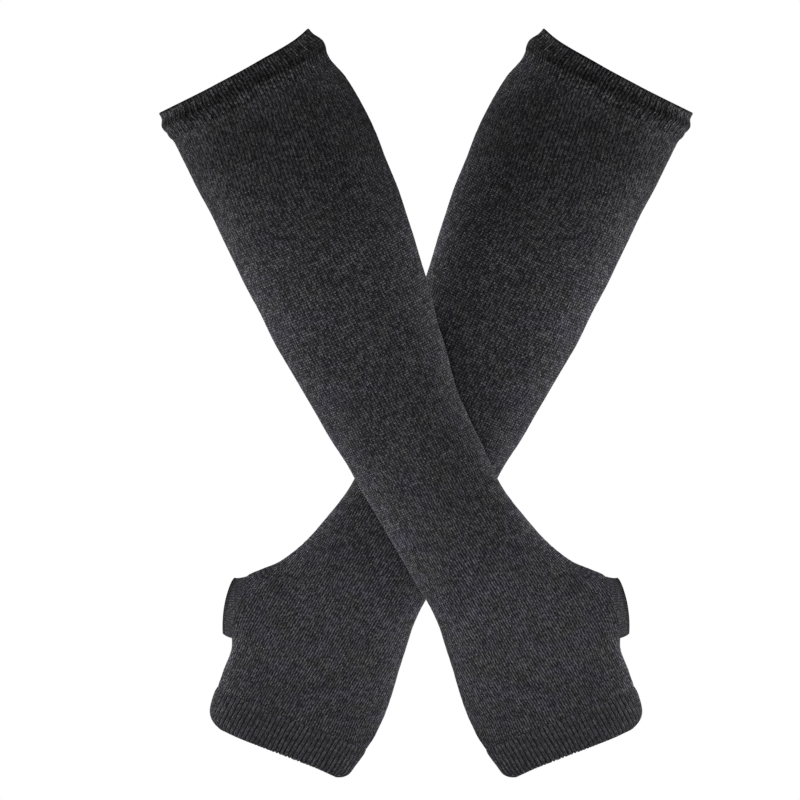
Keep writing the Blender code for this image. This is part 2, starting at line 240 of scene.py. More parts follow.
def ringPoints(along, shares):
    # one ring of the cloth's outside, with the turn of each point and the wales there
    little, thumbSide, middle, halfDepth, fullness = (
        readTable(sections, column, along) for column in sections["columns"][1:])
    angle = np.linspace(0, pi, warmer["ovalSteps"] + 1)
    onThumbSide = angle <= pi / 2
    reach = np.where(onThumbSide, thumbSide - middle, little - middle)
    power = 2 / np.where(onThumbSide, fullness, warmer["littleFullness"])
    across = middle + reach * np.abs(np.cos(angle)) ** power
    depth = halfDepth * np.abs(np.sin(angle)) ** power
    lengths = runningSum(np.hypot(np.diff(across), np.diff(depth)))
    turn, wale = ringTurns(along, shares, across, lengths)
    spot = 2 * np.minimum(turn, 1 - turn) * lengths[-1]
    x = np.interp(spot, lengths, across)
    y = np.interp(spot, lengths, depth) * np.where(turn <= 0.5, 1, -1)
    nearTop = 1 - smoothStep(along, 0.0, warmer["bandLength"])
    nearFingers = smoothStep(along, fingerRimStart, warmer["length"] - warmer["cuffLength"])
    dip = nearTop * readTable(topRim, "dip", x) + nearFingers * readTable(fingerRim, "dip", x)
    ring = np.stack((x, y, warmer["crossing"] - along - dip), -1)
    run = np.roll(ring, -1, 0) - np.roll(ring, 1, 0)
    out = unit(np.stack((run[:, 1], -run[:, 0], np.zeros(len(ring))), -1))
    wale = np.append(wale, wale[0] + readTable(wales, "round", along))
    return ring + out * readTable(bandSwell, "out", along), turn, wale


def outward(grid):    # square to a grid whose columns close on themselves
    around = np.roll(grid, -1, 1) - np.roll(grid, 1, 1)
    return unit(np.cross(np.gradient(grid, axis=0), around))


# Thumb hole: ovals of the collar on it, from its root through its crest to its rim
thumb = {
    "rings": (307.75, 314.0, 320.5, 327.0, 333.0, 338.65),    # of the hand, along the hole
    "ringsAround": (249.85, 267.0, 281.0, 291.5, 300.0),    # above it, over which the hand eases
    "ringsBelow": (344.5, 352.5, 361.94),
    "columns": 36,    # round the hand, of which the hole takes three on each side
    "halfHole": 3,
    "easeColumns": 4,
    "rounds": 260,    # in which the moves spread, and how far each goes past its mean
    "push": 1.9,
    # along and across of the end nearest the elbow, the same nearest the fingers, the half depth,
    # how far the sides stand out and the swell
    "ovals": ((307.75, 53.9, 338.65, 46.8, 13.2, 1.0, 0.0),
              (310.3, 56.7, 338.6, 50, 12.3, 1.4, 0.3),
              (311.3, 59.7, 338.4, 52.1, 11.6, 1.8, 0)),
}


def thumbOval(number, turns):    # points of one oval; a turn of 0 is its end nearest the elbow
    topAlong, topAcross, endAlong, endAcross, halfDepth, bow, swell = thumb["ovals"][number]
    top = np.array((topAcross, 0.0, warmer["crossing"] - topAlong))
    end = np.array((endAcross, 0.0, warmer["crossing"] - endAlong))
    out = np.cross((0.0, 1.0, 0.0), end - top)
    out /= -np.linalg.norm(out)
    angle = 2 * pi * np.asarray(turns)[..., None]
    radial = (top - end) / 2 * np.cos(angle) + np.array((0.0, halfDepth, 0.0)) * np.sin(angle)
    radial = radial * (1 + swell / np.linalg.norm(radial, axis=-1, keepdims=True))
    return (top + end) / 2 + radial + out * bow * np.sin(angle) ** 2


def holeEdge(alongs, first, last, reach):
    # grid places round the hole from its top round the back, each with its turn round the oval
    inRing = np.interp(alongs, thumb["rings"], range(len(thumb["rings"])))
    half, rings = thumb["halfHole"], len(thumb["rings"]) - 1
    whole = 4 * half + 2 * rings
    places = [(first, k, k / reach * half) for k in range(reach)]
    places += [(i, reach, half + inRing[i]) for i in range(first, last)]
    places += [(last, k, 2 * half + rings - k / reach * half) for k in range(reach, -reach, -1)]
    places += [(i, -reach, whole - half - inRing[i]) for i in range(last, first, -1)]
    places += [(first, k, whole + k / reach * half) for k in range(-reach, 0)]
    return [(i, k, spot / whole) for i, k, spot in places]


def easeIntoHole(grid, alongs, edge, first, last, reach):
    # moves the hole's edge onto the oval and eases the cloth around it
    knots = thumb["ringsAround"] + thumb["rings"] + thumb["ringsBelow"]
    height = np.interp(alongs, knots, range(len(knots)))
    top = int(np.searchsorted(alongs, knots[0]))
    side = (thumb["halfHole"] + thumb["easeColumns"]) * reach // thumb["halfHole"]
    columns = np.arange(-side, side + 1) % grid.shape[1]
    moves = np.zeros((len(alongs) - top, len(columns), 3))
    free = np.ones(moves.shape[:2], bool)
    free[0] = free[-1] = free[:, 0] = free[:, -1] = free[:, side] = False
    free[first - top + 1:last - top, side] = True
    for i, k, turn in edge:
        moves[i - top, k + side] = thumbOval(0, turn) - grid[i, k]
        free[i - top, k + side] = False
    above = np.diff(height[top:])[:-1, None]
    below = np.diff(height[top:])[1:, None]
    across = thumb["halfHole"] / reach
    fromAbove = 2 / (above * (above + below))
    fromBelow = 2 / (below * (above + below))
    fromSide = np.full_like(above, 1 / across ** 2)
    whole = fromAbove + fromBelow + 2 * fromSide
    rows, places = np.indices(free.shape)
    for turn in range(2 * thumb["rounds"]):
        mean = (fromAbove[..., None] * moves[:-2, 1:-1] + fromBelow[..., None] * moves[2:, 1:-1]
                + fromSide[..., None] * (moves[1:-1, :-2] + moves[1:-1, 2:])) / whole[..., None]
        now = (free & ((rows + places) % 2 == turn % 2))[1:-1, 1:-1, None]
        moves[1:-1, 1:-1] += now * thumb["push"] * (mean - moves[1:-1, 1:-1])
    grid[top:, columns] += moves
    return grid


# Creases: soft troughs and ridges, as along, share, slant in degrees, length, width and depth.
creases = {
    "bend": 5.0,    # how straight they run, in lengths
    "taper": 1.6,    # how soon they end
    "waves": ((0.16, 43, 2, 0.6), (0.12, 29, -3, 2.1), (0.1, 61, 5, 4)),    # soft, low and broad
    "folds": (    # on the front, then on the back
        (52, 0.71, 6, 34, 6, -0.35), (111, 0.79, -3, 26, 4, -0.55), (104, 0.78, -5, 30, 5, 0.3),
        (113, 0.615, 4, 15, 4, -0.5), (131, 0.675, -16, 18, 4.5, -0.45),
        (150, 0.84, -4, 18, 3.5, 0.35), (191, 0.72, 2, 30, 4, 0.4), (203, 0.69, 5, 28, 4.5, -0.5),
        (232, 0.73, 2, 20, 3.5, 0.35), (243, 0.6, 10, 18, 4, -0.45),
        (272, 0.87, 34, 30, 6, -0.45), (286, 0.8, 40, 34, 7, 0.35),
        (311, 0.78, -12, 20, 4, -0.45), (304, 0.77, -10, 22, 4, 0.25),
        (340, 0.83, -14, 22, 3, 0.25), (60, 0.27, -5, 30, 6, -0.4), (98, 0.17, 7, 24, 5, -0.5),
        (106, 0.35, -4, 30, 5, 0.35), (140, 0.24, 12, 22, 4.5, -0.5),
        (176, 0.33, -3, 24, 4, 0.35), (186, 0.21, 5, 26, 4.5, -0.45),
        (238, 0.28, -7, 24, 4, -0.55), (247, 0.25, -3, 28, 4, 0.35),
        (281, 0.12, -30, 26, 6, -0.45), (318, 0.3, 9, 24, 5, -0.4),
    ),
}


def creaseDepth(alongs, turns, girths):
    # how far the creases move each place of a grid out
    depth = np.zeros(turns.shape)
    for along, share, slant, length, width, deep in creases["folds"]:
        aside = ((turns - share + 0.5) % 1 - 0.5) * girths[:, None]
        down = (alongs - along)[:, None]
        lengthwise = aside * np.cos(radians(slant)) + down * np.sin(radians(slant))
        crosswise = down * np.cos(radians(slant)) - aside * np.sin(radians(slant))
        crosswise = crosswise - lengthwise ** 2 / (creases["bend"] * length)
        fall = (lengthwise / length * creases["taper"]) ** 2 + (crosswise / width) ** 2
        depth += deep * np.exp(-fall)
    return depth


# A cloth gathers points, faces and two maps for each corner: a layout that holds the whole piece
# without overlaps, and the corner's wale and course.
layoutMap = {
    "cut": 0.25,    # share at which a tube is cut open
    "margin": 0.01,
    "outside": (0.01, 0.79),    # widths that the sleeve's outside, its inside and the rims take
    "inside": (0.8, 0.99),
    "holeRim": (0.7915, 0.7985),
    "holeRun": (0.02, 0.96),
    "topRim": (0.995, 0.991),
    "lowerRim": (0.009, 0.005),
    "insideLength": 0.35,    # of a band, cuff or collar, against its outside
}


def addPoints(cloth, grid, **values):    # each value is a number or an array over the grid
    start = sum(len(points) for points in cloth["points"])
    rows, columns = grid.shape[:2]
    cloth["points"].append(grid.reshape(-1, 3))
    for name in values:
        cloth[name].append(np.broadcast_to(values[name], (rows, columns)).ravel())
    return start + np.arange(rows * columns).reshape(rows, columns)


def shortWay(steps, rounds):    # steps between wales, without whole rounds of the arm
    return steps - rounds * np.rint(steps / rounds)


def addCells(cloth, ids, heights, span, courses, places, rounds, kept=None, inwards=False):
    # quads between the rows of a grid, whose columns close on themselves; span and heights are
    # their part of the layout, courses and places give each point's course and wale, with the
    # first column's once more at the end, and rounds the wales round the arm on each row
    rows, columns = len(ids) - 1, ids.shape[1]
    cells = np.indices((rows, columns)).reshape(2, -1).T
    if kept is not None:
        cells = cells[kept.ravel()]
    i, k = cells.T
    corners = ((0, 0), (1, 0), (1, 1), (0, 1))
    if inwards:
        corners = corners[::-1]
    turn = (k / columns - layoutMap["cut"]) % 1
    near = places[i, k]
    gathered = {"faces": [], "layout": [], "stitches": []}
    for down, right in corners:
        x = span[0] + (span[1] - span[0]) * (turn + right / columns)
        wale = near + shortWay(places[i + down, k + right] - near, rounds[i + down])
        gathered["faces"].append(ids[i + down, (k + right) % columns])
        gathered["layout"].append(np.stack((x, heights[i + down]), -1))
        gathered["stitches"].append(np.stack((wale, courses[i + down, k + right]), -1))
    for name, values in gathered.items():
        cloth[name] += np.stack(values, 1).tolist()


def finishCloth(cloth, name, side, nodes, material, flat, area):
    # side is 1 with the thumb towards +X and -1 for the mirror image
    points = np.concatenate(cloth["points"]) * (side, 1, 1)
    faces, layout, stitches = ([corners[::side] for corners in cloth[part]]
                               for part in ("faces", "layout", "stitches"))
    mesh = bpy.data.meshes.new(name)
    mesh.from_pydata((points * mm).tolist(), [], faces)
    for title, corners in (("OFBake", layout), ("stitchMap", stitches)):
        uvMap = mesh.uv_layers.new(name=title)
        flatList = [value for face in corners for corner in face for value in corner]
        uvMap.data.foreach_set("uv", flatList)
    for title in ("tone", "purl", "valleys", "bulges"):
        attribute = mesh.attributes.new(title, "FLOAT", "POINT")
        attribute.data.foreach_set("value", np.concatenate(cloth[title]).astype(np.float32))
    lean = Matrix.Rotation(-side * warmer["lean"], 4, "Y")
    mesh.transform(Matrix.Translation((0, -side * warmer["halfSpacing"] * mm, 0)) @ lean)
    mesh.update()
    mesh.shade_smooth()
    mesh.set_sharp_from_angle(angle=warmer["sharpEdge"])
    mesh.materials.append(material)
    piece = bpy.data.objects.new(name, mesh)
    bpy.context.scene.collection.objects.link(piece)
    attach(piece, "root")
    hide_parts(*nodes)


def layoutHeights(weights):    # rows of a layout from its top to its bottom
    run = runningSum(weights)
    margin = layoutMap["margin"]
    return 1 - margin - (1 - 2 * margin) * run / run[-1]


def ridges(columns, perWale, valley, crest):    # one wale's profile repeated round the arm
    profile = np.full(perWale, crest)
    profile[0] = -valley
    return np.tile(profile, columns // perWale)


sleeve = {
    "perWale": 3,    # columns of the outside for each wale
    "rowsAbove": 152,    # rows of the outside above, along and below the thumb hole
    "rowsAlong": 16,
    "rowsBelow": 12,
    "innerStep": 4,    # rows of the outside for each row of the inside
    "ridge": 0.15,    # how far a wale stands out and the line between two lies back
    "ridgeMiddle": 0.1,
    "ridgeFade": (1.9, 2.7),    # columns for each wale between which its ridge grows
    "unevenness": 0.035,    # spread of single points in or out
    "mostUneven": 1.5,    # spreads
    "seed": 12,
    "stillAtBand": 6.0,    # how far from its ends and the thumb hole no crease starts
    "stillAtCuff": 8.0,
    "stillAtHole": 9.0,
    "facingShare": 0.22,    # where the two warmers nearly touch, round and along the arm
    "facingReach": 75.0,
    "facingRise": 0.05,    # and the most that the cloth stands out there
    # painted shade: how much darker the inside of the sleeve is
    "innerTone": 0.8,
    "innerGap": 0.12,    # how much wider its seams are on the inside
    "flat": (0.2, 0.346),    # knitted width and length, in metres
    "flatArea": 0.062,
}


def holeSpan():    # first and last row of the thumb hole, and the columns that it takes each way
    first = sleeve["rowsAbove"]
    reach = warmer["wales"] * sleeve["perWale"] * thumb["halfHole"] // thumb["columns"]
    return first, first + sleeve["rowsAlong"], reach


def sleeveGrids():
    start = warmer["bandLength"] + warmer["seam"] / 2
    end = warmer["length"] - warmer["cuffLength"] - warmer["seam"] / 2
    holeTop, holeEnd = thumb["rings"][0], thumb["rings"][-1]
    alongs = np.concatenate((np.linspace(start, holeTop, sleeve["rowsAbove"] + 1),
                             np.linspace(holeTop, holeEnd, sleeve["rowsAlong"] + 1)[1:],
                             np.linspace(holeEnd, end, sleeve["rowsBelow"] + 1)[1:]))
    columns = warmer["wales"] * sleeve["perWale"]
    shares = np.arange(columns) / columns
    rings = [ringPoints(spot, shares) for spot in alongs]
    plain, turns, places = (np.stack(part) for part in zip(*rings))
    first, last, reach = holeSpan()
    edge = holeEdge(alongs, first, last, reach)
    base = easeIntoHole(plain.copy(), alongs, edge, first, last, reach)
    rounds = readTable(wales, "round", alongs)
    places = keepPlaces(places, rounds[:, None], plain, base - plain)
    bow = wales["courseBow"] * base[..., 0] ** 2
    courses = courseAt(alongs[:, None] + np.concatenate((bow, bow[:, :1]), 1))
    out = outward(base)
    girths = np.linalg.norm(np.roll(base, -1, 1) - base, axis=2).sum(1)
    # nothing moves at the seams, where the next piece starts
    still = smoothStep(alongs, start, start + sleeve["stillAtBand"])
    still = still * (1 - smoothStep(alongs, end - sleeve["stillAtCuff"], end))
    still = np.repeat(still[:, None], columns, 1)
    aside = np.minimum(np.arange(columns), columns - np.arange(columns))
    away = np.hypot(np.maximum(aside - reach, 0) * girths[:, None] / columns,
                    np.maximum(np.maximum(holeTop - alongs, alongs - holeEnd), 0)[:, None])
    still = still * smoothStep(away, 0.0, sleeve["stillAtHole"])
    moves = creaseDepth(alongs, turns, girths) + wander(creases["waves"], alongs[:, None], turns)
    moves = moves * still
    # nothing stands further out where the two warmers nearly touch
    facing = np.abs((turns + 0.25) % 1 - 0.5) < sleeve["facingShare"]
    crossing = facing & (np.abs(alongs - warmer["crossing"]) < sleeve["facingReach"])[:, None]
    moves = np.where(crossing, np.minimum(moves, sleeve["facingRise"]), moves)
    middle = base + out * moves[..., None]
    # a wale's ridge fades where too few columns are left to carry it
    perWale = 1 / np.abs(shortWay(np.diff(places, axis=1), rounds[:, None]))
    relief = sleeve["ridge"] * (-np.cos(2 * pi * places[:, :-1]) - sleeve["ridgeMiddle"])
    relief = relief * smoothStep(perWale, *sleeve["ridgeFade"])
    most = sleeve["mostUneven"]
    uneven = np.random.default_rng(sleeve["seed"]).standard_normal(still.shape).clip(-most, most)
    relief = relief + sleeve["unevenness"] * uneven
    relief[[0, -1]] = 0
    outer = middle + out * relief[..., None]
    inner = middle - out * warmer["cloth"]
    inside = inner[::sleeve["innerStep"]]
    slant, gap = warmer["seamSlant"], sleeve["innerGap"]
    for row, step, move in ((0, inner[1] - inner[0], slant + gap),
                            (-1, inner[-1] - inner[-2], slant - gap)):
        inside[row] += unit(step) * move
    for i, k, turn in edge:
        outer[i, k] = base[i, k]
    return {"outer": outer, "inside": inside, "alongs": alongs, "turns": turns, "places": places,
            "courses": courses, "rounds": rounds, "edge": edge}


def keepPlaces(places, rounds, grid, moves):
    # the wales stay where they are while the grid's points move by moves
    down, right = np.gradient(grid, axis=0), np.roll(grid, -1, 1) - np.roll(grid, 1, 1)
    right /= 2
    downs, rights = (down * down).sum(2), (right * right).sum(2)
    both = (down * right).sum(2)
    byDown, byRight = (moves * down).sum(2), (moves * right).sum(2)
    whole = downs * rights - both ** 2
    rows = (byDown * rights - byRight * both) / whole
    columns = (byRight * downs - byDown * both) / whole
    below = shortWay(np.diff(places, axis=0), rounds[1:])
    perRow = np.concatenate((below[:1], (below[1:] + below[:-1]) / 2, below[-1:]))
    ahead = shortWay(np.diff(places, axis=1), rounds)
    perColumn = np.concatenate((ahead[:, :1], (ahead[:, 1:] + ahead[:, :-1]) / 2, ahead[:, -1:]), 1)
    rows, columns = (np.concatenate((part, part[:, :1]), 1) for part in (rows, columns))
    return places + rows * perRow + columns * perColumn


def sleeveCloth(grids):
    alongs, places, courses, rounds = (
        grids[name] for name in ("alongs", "places", "courses", "rounds"))
    step, columns = sleeve["innerStep"], grids["outer"].shape[1]
    first, last, reach = holeSpan()

    def aroundHole(ids, step):    # True for cells outside the hole
        kept = np.ones((len(ids) - 1, columns), bool)
        kept[first // step:last // step, :reach] = False
        kept[first // step:last // step, -reach:] = False
        return kept

    cloth = defaultdict(list)
    heights = layoutHeights(np.diff(alongs))
    shade = shadeAt(alongs, grids["turns"])
    # tone carries the yarn's painted light and shade, darker still inside
    outerIds = addPoints(cloth, grids["outer"], tone=shade, purl=0.0,
                         valleys=readTable(yarnShade, "valley", alongs)[:, None],
                         bulges=readTable(yarnShade, "bulge", alongs)[:, None])
    innerIds = addPoints(cloth, grids["inside"], tone=sleeve["innerTone"] * shade[::step], purl=1.0,
                         valleys=0.0, bulges=warmer["bulge"])
    addCells(cloth, outerIds, heights, layoutMap["outside"], courses, places, rounds,
             aroundHole(outerIds, 1))
    addCells(cloth, innerIds, heights[::step], layoutMap["inside"], courses[::step], places[::step],
             rounds[::step], aroundHole(innerIds, step), inwards=True)
    # both ends of the tube
    for row, above, below, strip in ((0, innerIds[:1], outerIds[:1], "topRim"),
                                     (-1, outerIds[-1:], innerIds[-1:], "lowerRim")):
        addCells(cloth, np.concatenate((above, below)), np.array(layoutMap[strip]),
                 layoutMap["outside"], courses[[row, row]], places[[row, row]], rounds[[row, row]])
    addHoleRim(cloth, outerIds, innerIds, grids)
    return cloth


def addHoleRim(cloth, outerIds, innerIds, grids):
    # joins the outside's edge of the hole to the inside's, which has fewer rows
    edge, places, step = grids["edge"], grids["places"], sleeve["innerStep"]
    stops = [n for n, (i, k, turn) in enumerate(edge) if i % step == 0]
    stops.append(len(edge))
    start, length = layoutMap["holeRun"]
    outerX, innerX = layoutMap["holeRim"]
    for here, there in zip(stops, stops[1:]):
        run = [edge[n % len(edge)] for n in range(here, there + 1)]
        outerRun = [int(outerIds[i, k]) for i, k, turn in run]
        innerEnds = [int(innerIds[i // step, k]) for i, k, turn in (run[-1], run[0])]
        low, high = (start + length * stop / len(edge) for stop in (here, there))
        layout = [(outerX, float(spot)) for spot in np.linspace(low, high, len(run))]
        layout += [(innerX, high), (innerX, low)]
        near = places[run[0][:2]]
        stitches = [(float(near + shortWay(places[i, k] - near, grids["rounds"][i])), float(i))
                    for i, k, turn in run + [run[-1], run[0]]]
        cloth["faces"].append((outerRun + innerEnds)[::-1])
        cloth["layout"].append(layout[::-1])
        cloth["stitches"].append(stitches[::-1])


def lipRows(piece, start, end, startLip, endLip, startSlant, endSlant):
    # along, and depth below the outside, of rows down a short tube's outside, round its lower
    # lip, up its inside and round its upper lip
    turn = lipTurns()
    share = 0.5 - 0.5 * np.cos(turn)
    top, bottom = start + startLip, end - endLip
    alongs = np.concatenate((np.linspace(top, bottom, piece["outerRows"]),
                             bottom + endLip * np.sin(turn) + endSlant * share,
                             np.linspace(bottom + endSlant, top + startSlant, piece["innerRows"]),
                             top - startLip * np.sin(turn) + startSlant * (1 - share)))
    depths = np.concatenate((np.zeros(piece["outerRows"]), share, np.ones(piece["innerRows"]),
                             1 - share))
    return alongs, depths * warmer["cloth"]


def ringsAt(alongs, columns):    # the cloth's outside on each row, and what is square to it
    shares = np.arange(columns) / columns
    levels, order = np.unique(alongs.round(6), return_inverse=True)
    surface = np.stack([ringPoints(along, shares)[0] for along in levels])
    return surface[order], outward(surface)[order]


def closedCloth(piece, grid, tones, courses, count):
    # a piece whose rows run right round its wall and close on themselves
    cloth = defaultdict(list)
    rows, columns = grid.shape[:2]
    start = piece["outerRows"] + warmer["lipRows"]
    isInside = np.zeros(rows)
    isInside[start:start + piece["innerRows"]] = 1
    ids = addPoints(cloth, grid, tone=tones, purl=isInside[:, None], valleys=piece["cleft"],
                    bulges=warmer["bulge"])
    weights = np.linalg.norm(np.roll(grid, -1, 0) - grid, axis=2).mean(1)
    weights *= np.where(isInside > 0, layoutMap["insideLength"], 1.0)
    places = np.broadcast_to(np.linspace(0, count, columns + 1), (rows + 1, columns + 1))
    courses = np.broadcast_to(np.append(courses, courses[0])[:, None], places.shape)
    margin = layoutMap["margin"]
    addCells(cloth, np.concatenate((ids, ids[:1])), layoutHeights(weights), (margin, 1 - margin),
             courses, places, np.full(rows + 1, count))
    return cloth


band = {
    "perWale": 3,
    "outerRows": 34,
    "innerRows": 8,
    "topLip": 0.75,    # how far the rolled rim rounds over, in millimetres
    "lowerLip": 0.08,
    "valley": 0.26,
    "crest": 0.1,
    "standing": 0.14,    # how much further out every other wale stands
    "contrast": 0.35,    # and how much painted light it gets for that
    "cleft": 0.6,    # how much painted shade the lines between the wales get
    "reliefEnd": (13.0, 16.0),    # where its relief sinks towards the sleeve's, and how much
    "reliefSinks": 0.45,
    "neckLean": 0.035,    # how much lower the dark neck lies towards the thumb
    "leanGrows": (1.0, 6.0),
    # painted shade over both lips and the inside
    "insideShade": 0.45,
    "flat": (0.2, 0.018),
    "flatArea": 0.0036,
}

# Shade of the band's yarn down the band: painted shade on the rim, a dark neck below the roll that is
# partly its dark elastic and partly painted shade, and painted light where the cloth rises again below
# it.
bandShade = {
    "columns": ("along", "shade"),
    "rows": ((0, 0.2), (0.3, 0.32), (0.9, 1.2), (5.2, 1.2), (7.2, 0.56), (8.9, 0.54), (10.8, 1.06),
             (13, 1.26), (16, 1.12)),
}


def bandCloth():
    alongs, depths = lipRows(band, 0.0, warmer["bandLength"] - warmer["seam"] / 2, band["topLip"],
                             band["lowerLip"], 0.0, warmer["seamSlant"])
    columns = warmer["wales"] * band["perWale"]
    surface, out = ringsAt(alongs, columns)
    standing = np.arange(columns) // band["perWale"] % 2 - 0.5
    relief = ridges(columns, band["perWale"], band["valley"], band["crest"])
    relief = relief + band["standing"] * standing
    shown = (1 - depths / warmer["cloth"])[:, None]
    fade = 1 - smoothStep(alongs, *band["reliefEnd"]) * band["reliefSinks"]
    grid = surface + out * (shown * relief * fade[:, None] - depths[:, None])[..., None]
    lean = band["neckLean"] * surface[..., 0] * smoothStep(alongs, *band["leanGrows"])[:, None]
    # painted shade on the rim and in the neck, painted light below it and on the wales that stand out
    shade = readTable(bandShade, "shade", alongs[:, None] - lean)
    shade = np.where(depths[:, None] > 0, band["insideShade"], shade) * shadeAt(alongs)
    shade = shade * (1 + band["contrast"] * standing * shown)
    return closedCloth(band, grid, shade, courseAt(alongs), warmer["wales"])


cuff = {
    "ribs": 76,    # one knit wale and one purl wale each
    "perRib": 8,
    "outerRows": 26,
    "innerRows": 7,
    "rimLip": 0.7,
    "seamLip": 0.08,
    "ribHeight": 0.7,
    "ribPower": 0.8,    # how narrow the ribs are
    "ribSinks": 0.12,    # how much of their height lies below the outside
    "ribStart": (1.5, 3.0),    # how far before and after the seam they grow
    "scallop": 0.55,    # how far the ribs stand past the rim between them
    "scallopLength": 4.0,
    # how much painted shade the lines between the wales get
    "cleft": 0.3,
    "shade": (0.42, 0.92),    # painted shade between the ribs, and how much painted light a rib gets
    # painted shade over both lips and the inside
    "insideShade": 0.7,
    "flat": (0.165, 0.0185),
    "flatArea": 0.00305,
}


def cuffCloth():
    start = warmer["length"] - warmer["cuffLength"] + warmer["seam"] / 2
    end = warmer["length"]
    alongs, depths = lipRows(cuff, start, end, cuff["seamLip"], cuff["rimLip"],
                             warmer["seamSlant"], 0.0)
    columns = cuff["ribs"] * cuff["perRib"]
    surface, out = ringsAt(alongs, columns)
    phase = 2 * pi * np.arange(columns) / cuff["perRib"]
    rib = (0.5 - 0.5 * np.cos(phase)) ** cuff["ribPower"]
    shown = (1 - depths / warmer["cloth"])[:, None]
    before, after = cuff["ribStart"]
    grown = smoothStep(alongs, start - before, start + after)[:, None]
    relief = shown * grown * cuff["ribHeight"] * (rib - cuff["ribSinks"])
    grid = surface + out * (relief - depths[:, None])[..., None]
    nearRim = smoothStep(alongs, end - cuff["scallopLength"], end)[:, None]
    grid[..., 2] -= nearRim * cuff["scallop"] * (rib - 1)
    # painted shade between the ribs, over the lips and inside, and painted light on the ribs
    dark, lighter = cuff["shade"]
    shade = np.where(depths[:, None] > 0, cuff["insideShade"], dark + lighter * rib)
    return closedCloth(cuff, grid, shade * shadeAt(alongs), courseAt(alongs), 2 * cuff["ribs"])


collar = {
    "wales": 72,
    "perWale": 4,
    "courses": 9,
    "corner": 0.09,    # how much shorter it is at the end nearest the elbow
    "cornerPower": 14,    # and how narrow that corner is
    "outerRows": 14,
    "innerRows": 8,
    "rimLip": 0.5,
    "seamGap": 0.08,
    "valley": 0.05,
    "crest": 0.03,
    "ridgeStart": 0.2,    # share of its height over which the ridges grow
    "rootEase": 0.55,    # and over which the inside leaves the hole's inner edge
    # how much painted shade the lines between the wales get
    "cleft": 0.15,
    "darkens": 0.35,    # how much painted shade darkens the outside towards the rim, and from which height to which
    "darkening": (0.45, 0.8),
    "rimLine": 1.5,    # how wide the painted shade on the rim is, in lips
    # how dark that painted shade on the rim is, and the painted shade inside
    "rimShade": 0.2,
    "insideShade": 0.5,
    "flat": (0.07, 0.01),
    "flatArea": 0.0007,
}


def holeInside(grids, turns):    # points of the hole's inner edge in the sleeve
    step = sleeve["innerStep"]
    rim = [(turn, grids["inside"][i // step, k]) for i, k, turn in grids["edge"] if i % step == 0]
    rimTurns = [turn for turn, point in rim] + [1.0]
    rimPoints = np.array([point for turn, point in rim] + [rim[0][1]])
    return np.stack([np.interp(turns, rimTurns, rimPoints[:, axis]) for axis in range(3)], -1)


def collarCloth(grids):
    columns = collar["wales"] * collar["perWale"]
    turns = np.arange(columns) / columns
    root, crest, rim = (thumbOval(number, turns) for number in range(3))
    nearElbow = np.clip(np.cos(2 * pi * turns), 0, 1)[:, None] ** collar["cornerPower"]
    rim = rim - (rim - root) * collar["corner"] * nearElbow
    half = warmer["cloth"] / 2
    reach = np.linalg.norm(rim - root, axis=1).mean()
    lip = collar["rimLip"] / reach
    turn = lipTurns()
    spots = np.concatenate((np.linspace(0, 1 - lip, collar["outerRows"]),
                            1 - lip + lip * np.sin(turn),
                            np.linspace(1 - lip, 0, collar["innerRows"])))
    depths = np.concatenate((np.zeros(collar["outerRows"]), half - half * np.cos(turn),
                             np.full(collar["innerRows"], 2 * half)))
    # a curve from the root through the crest to the rim, and its direction
    t = spots[:, None, None]
    surface = root * (1 - t) * (1 - 2 * t) + crest * 4 * t * (1 - t) + rim * t * (2 * t - 1)
    across = root * (4 * t - 3) + crest * (4 - 8 * t) + rim * (4 * t - 1)
    around = np.roll(surface, -1, 1) - np.roll(surface, 1, 1)
    out = unit(np.cross(across, around))
    relief = ridges(columns, collar["perWale"], collar["valley"], collar["crest"])
    shown = 1 - depths / warmer["cloth"]
    shown = (shown * smoothStep(spots, 0.0, collar["ridgeStart"]))[:, None]
    grid = surface + out * (shown * relief - depths[:, None])[..., None]
    # the inside starts from the inner edge of the hole
    leaving = 1 - smoothStep(spots, 0.0, collar["rootEase"])
    hold = np.where(depths < warmer["cloth"], 0.0, leaving)[:, None, None]
    grid = grid * (1 - hold) + (holeInside(grids, turns) + (surface - root)) * hold
    grid += (rim - root).mean(0) / reach * collar["seamGap"]
    # painted shade towards the rim, on the rim and inside
    shade = 1 - collar["darkens"] * smoothStep(spots, *collar["darkening"])
    shade = np.where(depths > 0, collar["insideShade"], shade)
    shade = np.where(spots > 1 - lip * collar["rimLine"], collar["rimShade"], shade)
    return closedCloth(collar, grid, shade[:, None] * shadeAt([thumb["rings"][2]]),
                       spots * collar["courses"], collar["wales"])


# Adds a node; each of its inputs is a number, a colour or another node's output.
def addNode(tree, kind, inputs=(), output=0, **settings):
    node = tree.nodes.new("ShaderNode" + kind)
    for setting, value in settings.items():
        setattr(node, setting, value)
    for key, value in dict(inputs).items():
        if isinstance(value, bpy.types.NodeSocket):
            tree.links.new(value, node.inputs[key])
        else:
            node.inputs[key].default_value = value
    return node.outputs[output]


# The shape of a stitch and the sizes of the patterns in the yarn, in wales and courses.
stitch = {
    "sway": (0.23, 2, 0.5),    # scale, detail and roughness of how the lines of stitches wander
    "waleSway": 0.15,    # and how far they do
    "courseSway": 0.4,
    "legSlope": 0.45,    # courses that a leg climbs from the middle of its wale to the side
    "legWidth": 0.84,    # the part of half a wale that it takes, and where it starts
    "legStart": 0.13,
    "purl": (-0.3, 0.45),    # how the inside's bumps swing, and their middle
    "streak": (0.1, 0.55, 2, 0.6),    # patterns for each wale and course, detail and roughness
    "fibre": (4.5, 4.5, 3, 0.7),
    "patch": (0.16, 0.26, 3, 0.5),
    "fibreHeight": 0.35,
    "hue": (0.09, 3, 0.6),
    "hueRange": (0.38, 0.66),    # of it, from plain to cool yarn
    "level": 2.4,    # evens out the painted shade in the gaps, so that the yarn's colour is the mean
}


